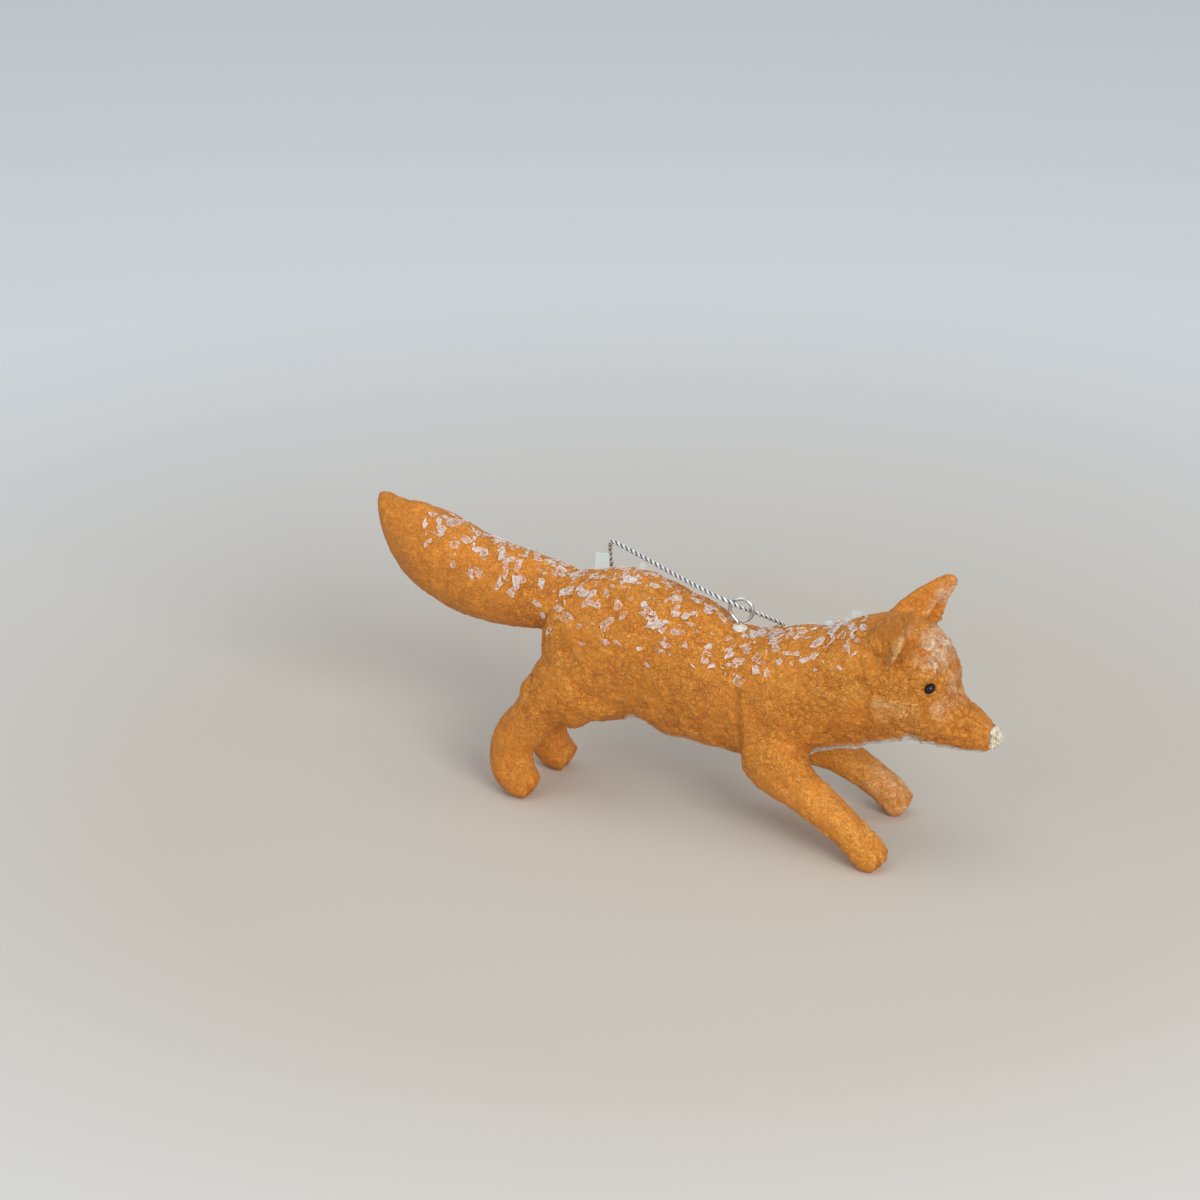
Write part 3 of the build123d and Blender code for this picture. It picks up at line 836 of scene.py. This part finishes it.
def paint_masks(points, normals):
    """Shares from 0 to 1 of pale paint with painted highlight, bare paper, painted light and shade, and
    wrinkles
    """
    x, y, z = points.T
    side = np.abs(y)
    mirrored = np.c_[x, side, z]
    # Painted highlight along the front rim of each ear
    rim = bell(before_ear(x, z), -0.2, 0.9) * rise(side, 5.5, 2)
    rim *= np.clip(falloff(mirrored, (55.5, 10.5, 54.0), 9.0) * 1.6, 0, 1)
    pale = spots(mirrored, PALE_PAIRS) + spots(points, PALE_PLACES) + 0.30 * rim
    inner_ear = falloff(mirrored, (58.8, 10.4, 57.5), 5.0)
    pale += 0.85 * inner_ear * np.clip(normals[:, 0] * 2 - 0.2, 0, 1)
    # Bare paper under throat and belly, and beside the nose
    down = np.clip(-normals[:, 2] * 1.5 - 0.62, 0, 1)
    throat = down * rise(x, 18, 8) * fall(x, 74, 3) * rise(z, 14, 3) * (side < 11)
    belly = down * fall(x, 16, 4) * rise(x, -16, 5) * (z > 13) * (z < 26)
    muzzle = 1.1 * falloff(points, (73.6, 0.0, 29.4), 4.6)
    chin = 0.9 * falloff(points, (71.2, 0.0, 26.0), 2.6)
    bare = np.maximum.reduce([throat, belly, muzzle, chin])
    # Painted light and shade: lighter on faces turned up, ear rims, cheeks, front legs and low parts;
    # darker on flank, rump, hind legs, tail and ear tops
    sunned = 0.5 + 0.35 * np.clip(normals[:, 2], -1, 1) + 0.9 * rim
    sunned += spots(mirrored, PAINTED_LIGHT_PAIRS) + spots(points, PAINTED_SHADE_PLACES)
    sunned += 0.30 * rise(x, 22, 20) * (z < 22) + 0.15 * (z < 16) - 0.25 * (x < -20) * (z < 24)
    sunned -= 0.40 * rise(-x, 34, 10) + 0.45 * rise(z, 52, 4) * (x > 48)
    wrinkled = 0.75 + 0.25 * rise(x, 30, 10) - 0.35 * rise(-x, 34, 8)
    wrinkled *= (1 - 0.72 * fall(z, 21, 7)) * (1 - 0.5 * rise(z, 52.5, 3))
    masks = {"pale": pale, "bare": bare, "sunned": sunned, "wrinkled": wrinkled}
    return {name: np.clip(values, 0, 1) for name, values in masks.items()}


# The finished skin, for finding places on it
SKIN = {}


class FOX_OT_skin(bpy.types.Operator):
    """Lays the torn and painted paper skin over trunk, head, tail, legs and ears"""

    bl_idname = "fox.skin"
    bl_label = "Paper skin"

    def execute(self, context):
        noise.seed_set(paper().scrap_seed)
        mesh = melted_skin_mesh(paper().voxel)
        points = shaped(points_of(mesh) / MM, edges_of(mesh), normals_of(mesh))
        move_points(mesh, points)
        normals = normals_of(mesh)
        modelled, painted_crease_shade = feature_offsets(points, normals)
        points = points + normals * modelled[:, None]
        move_points(mesh, points)
        normals = normals_of(mesh)
        offset, relief = skin_relief(points)
        points = points + normals * offset[:, None]
        points[:, 2] = np.maximum(points[:, 2], 0.02)
        move_points(mesh, points)
        # The relief, darkened by the painted crease shade
        vertex_values(mesh, "relief", np.clip(relief - painted_crease_shade, 0, 1))
        for name, values in paint_masks(points, normals).items():
            vertex_values(mesh, name, values)
        skin = new_piece("paper_skin", mesh, painted_paper_finish(), FOX)
        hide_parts(*SKIN_NODES)
        SKIN["tree"] = BVHTree.FromPolygons(
            [tuple(p) for p in points], [tuple(f.vertices) for f in mesh.polygons], epsilon=0.0
        )
        return {"FINISHED"}


# Mica

# Large flakes that are seen one by one: X along the fox, turn from the top to its
# right side in degrees, corners, size in millimetres, stretch, spin in degrees
LARGE_FLAKES = [
    (-60.5, 30, 6, 2.9, 1.2, 20), (-54.5, 27, 5, 3.4, 1.1, 60), (-56.3, 42, 6, 2.7, 1.3, 10),
    (-50.0, 30, 5, 2.6, 1.2, 40), (-54.6, 68, 5, 2.7, 1.7, 75), (-50.4, 64, 5, 2.2, 1.1, 20),
    (-43.8, 26, 5, 2.6, 1.3, 30), (-39.3, 46, 6, 3.2, 1.5, 85), (-40.0, 68, 5, 3.3, 1.1, 15),
    (-35.5, 34, 5, 3.2, 1.7, 95), (-38.6, 8, 5, 2.4, 1.2, 0), (-31.6, 61, 5, 2.3, 1.2, 45),
    (-46.6, 17, 5, 2.6, 1.2, 0), (-25.8, 22, 6, 3.6, 1.3, 45), (-24.7, 46, 5, 3.8, 1.4, 40),
    (-21.7, 26, 5, 2.8, 1.4, 30), (-17.6, 32, 6, 2.6, 1.2, 80), (-12.7, 29, 6, 3.0, 1.2, 95),
    (-14.8, 45, 4, 6.4, 4.2, 38), (-14.4, 60, 6, 3.0, 1.7, -25), (-19.4, 10, 5, 3.2, 1.8, 10),
    (-12.1, 10, 5, 3.6, 1.6, 5), (-7.2, 23, 5, 2.5, 2.0, 60), (-3.0, 31, 6, 5.2, 1.35, 80),
    (0.7, 34, 5, 2.2, 1.3, 70), (-1.0, 46, 5, 3.6, 1.8, -22), (2.4, 20, 5, 2.5, 1.4, 45),
    (-0.2, 11, 5, 2.6, 2.2, -30), (3.7, 42, 5, 2.2, 1.2, 80), (8.9, 44, 6, 3.6, 2.6, -5),
    (3.2, 4, 5, 3.0, 2.0, -15), (7.0, 2, 5, 2.8, 1.6, -10), (16.1, 43, 6, 3.6, 1.8, 5),
    (20.4, 37, 6, 3.8, 1.4, 60), (-6.7, 56, 5, 2.6, 2.6, 0), (12.3, 22, 5, 2.8, 2.2, 35),
    (24.5, 30, 5, 3.0, 1.8, 35), (27.5, 36, 6, 3.2, 2.2, 0), (22.0, 14, 5, 3.0, 3.0, 20),
    (30.2, 15, 5, 3.6, 3.0, -8), (28.7, 8, 5, 3.0, 2.4, 12), (31.8, 44, 6, 3.0, 1.5, 20),
    (33.8, 40, 5, 2.6, 1.3, 70), (37.2, 24, 5, 3.0, 2.2, 60), (40.6, 11, 5, 4.0, 2.8, 35),
    (37.0, 9, 5, 2.6, 2.2, 10), (34.0, 20, 5, 2.4, 2.4, 20), (26.0, 44, 5, 2.4, 1.4, 30),
]

# Flakes that stand on edge: X, turn, height in millimetres, width, lean
STANDING_FLAKES = [
    (-20.8, -6, 4.2, 3.4, 10), (-11.6, -4, 2.6, 1.4, 20), (40.2, -6, 2.2, 2.6, 25),
    (34.5, -2, 1.8, 1.6, -15), (38.4, 4, 2.0, 0.9, 35),
]
STANDING_LINE = Vector((0.92, 0.38, 0))

# Small flakes on the near side: from X, to X, middle turn, spread of the turns, amount
NEAR_BANDS = [
    (-64, -32, 30, 22, 62), (-30, 18, 22, 24, 130), (16, 44, 18, 20, 78),
    (-62, -30, 0, 6, 40), (-30, 10, 0, 6, 60), (12, 45, 2, 8, 46),
]

# Small flakes on the far side: from X, to X, amount
FAR_BANDS = [(-58, -34, 14), (-26, 14, 26), (18, 42, 16)]

# Height of the middle of the body along it, in millimetres
SPINE_X = [-74, -62, -50, -38, -28, -20, 0, 20, 45, 60]
SPINE_Z = [63, 54, 49, 46, 38, 37, 34, 33, 39, 42]
TAIL_ROOT_X = -33


def skin_place(x, turn):
    """Point and outward normal of the skin at a place along the fox, in millimetres"""
    angle = math.radians(turn)
    way = Vector((0.0, -math.sin(angle), math.cos(angle)))
    if x < TAIL_ROOT_X:
        way = Vector((0.35 * math.cos(angle), -math.sin(angle), math.cos(angle))).normalized()
    start = Vector((x, 0.0, float(np.interp(x, SPINE_X, SPINE_Z)))) + way * 40
    hit, normal, _, _ = SKIN["tree"].ray_cast(start, -way)
    if hit is None:
        raise RuntimeError(f"no skin under a flake at {x}, {turn}")
    return hit, normal


def small_flakes(rng, common):
    """Rows like those of the large flakes, strewn over both flanks"""
    rows = []
    for low, high, middle, spread, amount in NEAR_BANDS:
        for _ in range(amount):
            turn = max(-42, min(70, rng.gauss(middle, spread)))
            size = common * rng.choice((0.3, 0.4, 0.5, 0.7, 1.0, 1.3))
            x, corners = rng.uniform(low, high), rng.choice((4, 5, 6))
            rows.append((x, turn, corners, size, rng.uniform(1.1, 3.2), rng.uniform(-90, 90)))
    for low, high, amount in FAR_BANDS:
        for _ in range(amount):
            size = common * rng.choice((0.4, 0.6, 0.9, 1.2))
            x, turn = rng.uniform(low, high), rng.uniform(-50, -8)
            corners = rng.choice((4, 5, 6))
            rows.append((x, turn, corners, size, rng.uniform(1.0, 2.4), rng.uniform(-90, 90)))
    return rows


def ragged_outline(rng, corners, size, stretch):
    """Corners of a broken flake in millimetres; the longest are straight slivers"""
    wide = size / 2
    tall = wide / stretch
    if corners == 4 and stretch > 3.5:
        return [
            (-wide, -tall), (wide * 0.8, -tall * 0.9), (wide, tall * 0.2),
            (wide * 0.7, tall), (-wide * 0.95, tall),
        ]
    turns = sorted((i + rng.uniform(-0.42, 0.42)) / corners * 2 * math.pi for i in range(corners))
    return [
        (wide * rng.uniform(0.62, 1.15) * math.cos(t), tall * rng.uniform(0.6, 1.2) * math.sin(t))
        for t in turns
    ]


class FlakeHeap:
    """The points, faces and point values of all flakes, which become one mesh"""

    def __init__(self):
        self.points = []
        self.faces = []
        self.values = {"clear": [], "edge": [], "tone": []}

    def add(self, place, corners, thickness, tone, clear=0.0):
        """A thin plate with rim points, an inner ring and a middle on both sides"""
        count = len(corners)
        low = len(self.points)
        high = low + 2 * count + 1
        rings = [(a, b, 1.0) for a, b in corners] + [(a * 0.84, b * 0.84, 0.25) for a, b in corners]
        for level in (0.0, thickness):
            for a, b, edge in [*rings, (0.0, 0.0, 0.0)]:
                self.points.append((place @ Vector((a, b, level))) * MM)
                self.values["clear"].append(clear)
                self.values["edge"].append(edge)
                self.values["tone"].append(tone)
        for i in range(count):
            j = (i + 1) % count
            self.faces += [
                (low + j, low + i, low + count + i, low + count + j),
                (low + count + j, low + count + i, low + 2 * count),
                (high + i, high + j, high + count + j, high + count + i),
                (high + count + i, high + count + j, high + 2 * count),
                (low + i, low + j, high + j, high + i),
            ]


def lay_flake(heap, rng, thickness, x, turn, corners, size, stretch, spin):
    """Beds one flake nearly flat in the skin"""
    hit, normal = skin_place(x, turn)
    tilt = math.radians(rng.uniform(1, 9) if size > 2 else rng.uniform(2, 26))
    axis = normal.orthogonal().normalized()
    axis.rotate(Matrix.Rotation(rng.uniform(0, 2 * math.pi), 3, normal))
    facing = Matrix.Rotation(tilt, 3, axis) @ normal
    along = Vector((1, 0, 0)) - facing * facing.x
    along = Matrix.Rotation(math.radians(spin), 3, facing) @ along.normalized()
    place = Matrix((along, facing.cross(along), facing)).transposed().to_4x4()
    place.translation = hit + normal * (0.10 + 0.45 * size / 2 * math.sin(tilt))
    outline = ragged_outline(rng, corners, size, stretch)
    heap.add(place, outline, thickness, rng.uniform(0.1, 1.0) ** 1.4)


def stand_flake(heap, thickness, x, turn, tall, wide, lean):
    """Stands one clear flake on edge in the skin"""
    hit, normal = skin_place(x, turn)
    upward = (normal + Vector((math.tan(math.radians(lean)), 0, 0))).normalized()
    along = (STANDING_LINE - upward * upward.dot(STANDING_LINE)).normalized()
    place = Matrix((along, upward, along.cross(upward))).transposed().to_4x4()
    place.translation = hit + upward * (tall / 2 - 0.4)
    half, up = wide / 2, tall / 2
    outline = [(-half, -up), (half * 0.8, -up), (half, up * 0.85), (-half * 0.9, up)]
    heap.add(place, outline, thickness, 0.75, clear=1.0)


class FOX_OT_mica(bpy.types.Operator):
    """Beds the mica flakes along tail, rump, back and nape"""

    bl_idname = "fox.mica"
    bl_label = "Mica flakes"

    def execute(self, context):
        rng = random.Random(trim().flake_seed)
        thickness = trim().flake_thickness / MM
        heap = FlakeHeap()
        for row in LARGE_FLAKES + small_flakes(rng, trim().flake_size / MM):
            lay_flake(heap, rng, thickness, *row)
        for row in STANDING_FLAKES:
            stand_flake(heap, thickness * 1.5, *row)
        mesh = mesh_from("mica_flakes", heap.points, heap.faces, smooth=False)
        for name, values in heap.values.items():
            vertex_values(mesh, name, values)
        flakes = new_piece("mica_flakes", mesh, mica_finish(), FOX)
        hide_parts(*[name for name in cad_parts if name.startswith("mica_")])
        return {"FINISHED"}


# Face

NOSE_MIDDLE = Vector((73.4, 0.0, 29.9))
NOSE_RADII = (1.6, 2.1, 2.2)


class FOX_OT_nose(bpy.types.Operator):
    """Dabs the crumbly cream paste on the nose"""

    bl_idname = "fox.nose"
    bl_label = "Nose"

    def execute(self, context):
        points, faces = bubble(NOSE_MIDDLE, NOSE_RADII, rings=40, segments=60)
        moved = []
        for point in points:
            place = point / MM
            away = (place - NOSE_MIDDLE).normalized()
            lump = noise.fractal(place * 1.15, 0.9, 2.1, 3) * 0.6 + noise.noise(place * 3.4) * 0.4
            cleft = -0.35 * math.exp(-((place.y / 0.35) ** 2)) * max(0.0, away.x) ** 2
            moved.append((place + away * (lump + cleft)) * MM)
        mesh = settled(mesh_from("nose_paste", moved, faces), "WELD", merge_threshold=0.00002)
        nose = new_piece("nose_paste", mesh, nose_finish(), FOX)
        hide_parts("nose_tip")
        return {"FINISHED"}


def assign(node, material):
    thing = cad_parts[node]
    if thing.material_slots:
        for slot in thing.material_slots:
            slot.material = material
    else:
        thing.data.materials.append(material)


class FOX_OT_eyes(bpy.types.Operator):
    """Polishes the two black bead eyes"""

    bl_idname = "fox.eyes"
    bl_label = "Eyes"

    def execute(self, context):
        finish = bead_finish()
        assign("eye_right", finish)
        assign("eye_left", finish)
        return {"FINISHED"}


class FOX_OT_inner(bpy.types.Operator):
    """Finishes the pulp cores and the bent wires inside the skin"""

    bl_idname = "fox.inner"
    bl_label = "Cores and wires"

    def execute(self, context):
        pulp = pulp_finish()
        wire = armature_wire_finish()
        for node in CORE_NODES:
            assign(node, pulp if node.endswith("core") else wire)
        return {"FINISHED"}


# Hanging eye and cord

# The cord's routes and its knot, in steps from the middle of the ring, in millimetres
RING_MIDDLE = Vector((13.48, 0.0, 50.692))
CORD_MIDDLE = (-0.08, 0.0, 0.5)
REAR_ROUTE = [
    (-2.9, -3.1, 3.2), (-8.2, -1.4, 3.8), (-30.9, 8.1, 6.95), (-35.4, 9.5, 7.75),
    (-36.4, 11.3, 5.6), (-36.9, 13.3, 0.0), (-35.7, 15.2, -9.7), (-30.5, 15.9, -21.7),
    (-22.0, 16.0, -31.2), (-12.4, 15.8, -35.8),
]
FRONT_ROUTE = [
    (8.07, 10.5, -6.3), (7.2, 14.5, -12.7), (4.7, 15.8, -23.7), (-1.7, 16.0, -32.8),
    (-10.54, 15.8, -35.87),
]
KNOT_STEP = Vector((-11.5, 15.8, -36.2))
KNOT_TURN = math.radians(25)
KNOT_POINTS = 25
CORD_RUNS = (
    ("cord_rear", "cord_rear_run", REAR_ROUTE),
    ("cord_front", "cord_front_run", FRONT_ROUTE),
)


def nurbs_curve(name, places):
    """A curve and its one open spline, whose control points are the given places"""
    data = bpy.data.curves.new(name, "CURVE")
    data.dimensions = "3D"
    spline = data.splines.new("NURBS")
    spline.points.add(len(places) - 1)
    for point, place in zip(spline.points, places):
        point.co = (*place, 1.0)
    return data, spline


def smooth_route(name, steps):
    """The points along the route's NURBS curve"""
    places = [(RING_MIDDLE + Vector(step)) * MM for step in [CORD_MIDDLE, *steps]]
    data, spline = nurbs_curve(name, places)
    spline.order_u = 3
    spline.use_endpoint_u = True
    data.resolution_u = 24
    return [v.co.copy() for v in settled(data).vertices]


def evenly(path, step):
    """Points at even steps along a path, and the path's length"""
    lengths = np.r_[0.0, np.cumsum([(b - a).length for a, b in zip(path, path[1:])])]
    count = max(2, int(round(lengths[-1] / step)))
    at = np.linspace(0, lengths[-1], count + 1)
    table = np.array([tuple(p) for p in path])
    columns = [np.interp(at, lengths, table[:, k]) for k in range(3)]
    return [Vector(row) for row in zip(*columns)], lengths[-1]


def twisted_cord(name, path, diameter, pitch, sides=12):
    """Two strands laid round each other along a path, each end closed"""
    line, length = evenly(path, pitch / 14)
    count = len(line)
    strand = diameter * 0.29
    offset = diameter * 0.21
    slope = 2 * math.pi * offset / pitch
    ahead = line[1:] + line[-1:]
    behind = line[:1] + line[:-1]
    tangents = [(b - a).normalized() for a, b in zip(behind, ahead)]
    side = tangents[0].orthogonal().normalized()
    frames = []
    for tangent in tangents:
        side = (side - tangent * side.dot(tangent)).normalized()
        frames.append((tangent, side.copy(), tangent.cross(side)))
    points, faces, inner = [], [], []
    for strand_turn in (0.0, math.pi):
        faces += tube_faces(len(points), count, sides)
        for i, (centre, (tangent, u, v)) in enumerate(zip(line, frames)):
            turn = strand_turn + 2 * math.pi * (length * i / (count - 1)) / pitch
            out = u * math.cos(turn) + v * math.sin(turn)
            along = (tangent + tangent.cross(out) * slope).normalized()
            across = along.cross(out).normalized()
            for k in range(sides):
                a = 2 * math.pi * k / sides
                spoke = out * math.cos(a) + across * math.sin(a)
                points.append(centre + out * offset + spoke * strand)
                # Painted shade on the side of each strand that faces the other strand
                inner.append(max(0.0, 0.75 - math.cos(a)))
    mesh = mesh_from(name, points, faces)
    vertex_values(mesh, "inner", inner)
    return mesh, length, line


def knot_mesh():
    """An overhand knot of the same cord, pulled tight"""
    spin = Matrix.Rotation(KNOT_TURN, 3, "Y")
    places = []
    for i in range(KNOT_POINTS + 1):
        t = 2 * math.pi * i / KNOT_POINTS
        loop = Vector((
            1.15 * (math.sin(t) + 1.25 * math.sin(2 * t)) * 0.55,
            1.15 * (math.cos(t) - 1.25 * math.cos(2 * t)) * 0.42,
            -0.62 * math.sin(3 * t),
        ))
        places.append((RING_MIDDLE + KNOT_STEP + spin @ loop) * MM)
    data, spline = nurbs_curve("knot_line", places)
    spline.order_u = 4
    spline.use_endpoint_u = True
    data.bevel_depth = 0.00042
    data.bevel_resolution = 4
    data.use_fill_caps = True
    mesh = settled(data)
    mesh.polygons.foreach_set("use_smooth", [True] * len(mesh.polygons))
    vertex_values(mesh, "inner", [0.0] * len(mesh.vertices))
    return mesh


class FOX_OT_hanging_eye(bpy.types.Operator):
    """Finishes the bright wire eye and the glue at its foot"""

    bl_idname = "fox.hanging_eye"
    bl_label = "Hanging eye"

    def execute(self, context):
        assign("eye_pin", bright_wire_finish())
        assign("glue_bead", glue_finish())
        return {"FINISHED"}


class FOX_OT_cord(bpy.types.Operator):
    """Threads the twisted silver cord through the eye and ties its knot"""

    bl_idname = "fox.cord"
    bl_label = "Cord"

    def execute(self, context):
        silver = cord_finish()
        diameter = trim().cord_diameter
        knot = new_piece("cord_tie", knot_mesh(), silver, LOOP)
        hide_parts("cord_knot")
        for name, node, steps in CORD_RUNS:
            path = smooth_route(name, steps)
            mesh, length, line = twisted_cord(name, path, diameter, trim().cord_pitch)
            run = new_piece(name, mesh, silver, LOOP)
            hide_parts(node)
        return {"FINISHED"}


# Stage

# Each lamp: name, place, length of its sides, power and colour
LAMPS = [
    ("window", (0.85, -0.80, 0.62), 0.6, 10.0, (1.0, 0.99, 0.97)),
    ("sky", (-0.15, -0.1, 1.3), 1.2, 4.2, (0.95, 0.98, 1.0)),
    ("front_fill", (-0.55, -0.95, 0.6), 0.8, 1.8, (1.0, 0.99, 0.97)),
]
LAMP_AIM = Vector((0.0, 0.0, 0.03))


def stage_sheet(name, points, faces, material):
    thing = bpy.data.objects.new(name, mesh_from(name, points, faces))
    thing.data.materials.append(material)
    bpy.context.scene.collection.objects.link(thing)


def floor_finish():
    look = Finish("pale_floor")
    tones = stage()
    cloud = look.noise(3.0, 2.0, 0.5)
    distance = look.node("VectorMath", {"operation": "LENGTH"}, "Value", i0=look.place())
    colour = look.colour_mix(((distance - 0.12) * 4.0).clamped(), tones.floor_colour, tones.far_colour)
    colour = look.colour_mix(cloud * 0.05, colour, (0.6, 0.6, 0.6))
    return look.surface(Base_Color=colour, Roughness=0.9, Specular_IOR_Level=0.1)


def soft_room():
    """Even light all round, seen brighter by the camera and in the metal"""
    look = Finish("soft_room", bpy.data.worlds.new("soft_room"))
    seen = look.node("LightPath", None, "Is Camera Ray") + look.node("LightPath", None, "Is Glossy Ray")
    seen = (seen + look.node("LightPath", None, "Is Transmission Ray")).clamped()
    sky = look.node("Background", None, 0, Color=(0.93, 0.96, 1.0), Strength=0.40 + seen * 0.35)
    output = look.tree.nodes.new("ShaderNodeOutputWorld")
    look.tree.links.new(sky.socket, output.inputs["Surface"])
    bpy.context.scene.world = look.owner


def area_lamp(name, place, size, power, colour):
    data = bpy.data.lights.new(name, "AREA")
    data.shape = "SQUARE"
    data.size = size
    data.energy = power
    data.color = colour
    lamp = bpy.data.objects.new(name, data)
    lamp.location = place
    lamp.rotation_euler = (LAMP_AIM - Vector(place)).to_track_quat("-Z", "Y").to_euler()
    bpy.context.scene.collection.objects.link(lamp)


class FOX_OT_stage(bpy.types.Operator):
    """Sets the pale floor, the soft lamps and the camera"""

    bl_idname = "fox.stage"
    bl_label = "Stage"

    def execute(self, context):
        look = stage()
        reach = look.floor_reach
        corners = [(-reach, -reach, 0), (reach, -reach, 0), (reach, reach, 0), (-reach, reach, 0)]
        stage_sheet("floor", corners, [(0, 1, 2, 3)], floor_finish())
        back = Vector((
            math.sin(look.azimuth) * math.cos(look.elevation),
            -math.cos(look.azimuth) * math.cos(look.elevation),
            math.sin(look.elevation),
        ))
        data = bpy.data.cameras.new("camera")
        data.sensor_fit = "HORIZONTAL"
        data.angle = look.view_angle
        data.clip_start, data.clip_end = 0.01, 20.0
        camera = bpy.data.objects.new("camera", data)
        camera.location = Vector(look.aim) + back * look.distance
        camera.rotation_euler = back.to_track_quat("Z", "Y").to_euler()
        bpy.context.scene.collection.objects.link(camera)
        bpy.context.scene.camera = camera
        for lamp in LAMPS:
            area_lamp(*lamp)
        soft_room()
        bpy.context.scene.view_settings.view_transform = "Standard"
        return {"FINISHED"}


# Panel and run

STEPS = (
    FOX_OT_skin, FOX_OT_mica, FOX_OT_nose, FOX_OT_eyes, FOX_OT_inner, FOX_OT_hanging_eye,
    FOX_OT_cord, FOX_OT_stage,
)


class FOX_PT_panel(bpy.types.Panel):
    """Sizes, colours and steps of the fox"""

    bl_idname = "FOX_PT_panel"
    bl_label = "Paper Fox"
    bl_space_type = "VIEW_3D"
    bl_region_type = "UI"
    bl_category = "Paper Fox"

    def draw(self, context):
        column = self.layout.column()
        for settings in (paper(), trim(), stage()):
            for key in settings.bl_rna.properties.keys():
                if key not in ("rna_type", "name"):
                    column.prop(settings, key)
        for step in STEPS:
            column.operator(step.bl_idname)


CLASSES = (FoxPaperSettings, FoxTrimSettings, FoxStageSettings, *STEPS, FOX_PT_panel)


def register():
    for item in CLASSES:
        bpy.utils.register_class(item)
    bpy.types.Scene.fox_paper = PointerProperty(type=FoxPaperSettings)
    bpy.types.Scene.fox_trim = PointerProperty(type=FoxTrimSettings)
    bpy.types.Scene.fox_stage = PointerProperty(type=FoxStageSettings)


def unregister():
    for name in ("fox_paper", "fox_trim", "fox_stage"):
        delattr(bpy.types.Scene, name)
    for item in reversed(CLASSES):
        bpy.utils.unregister_class(item)


def main():
    register()
    bpy.ops.fox.skin()
    bpy.ops.fox.mica()
    bpy.ops.fox.nose()
    bpy.ops.fox.eyes()
    bpy.ops.fox.inner()
    bpy.ops.fox.hanging_eye()
    bpy.ops.fox.cord()
    bpy.ops.fox.stage()


if __name__ == "__main__":
    main()
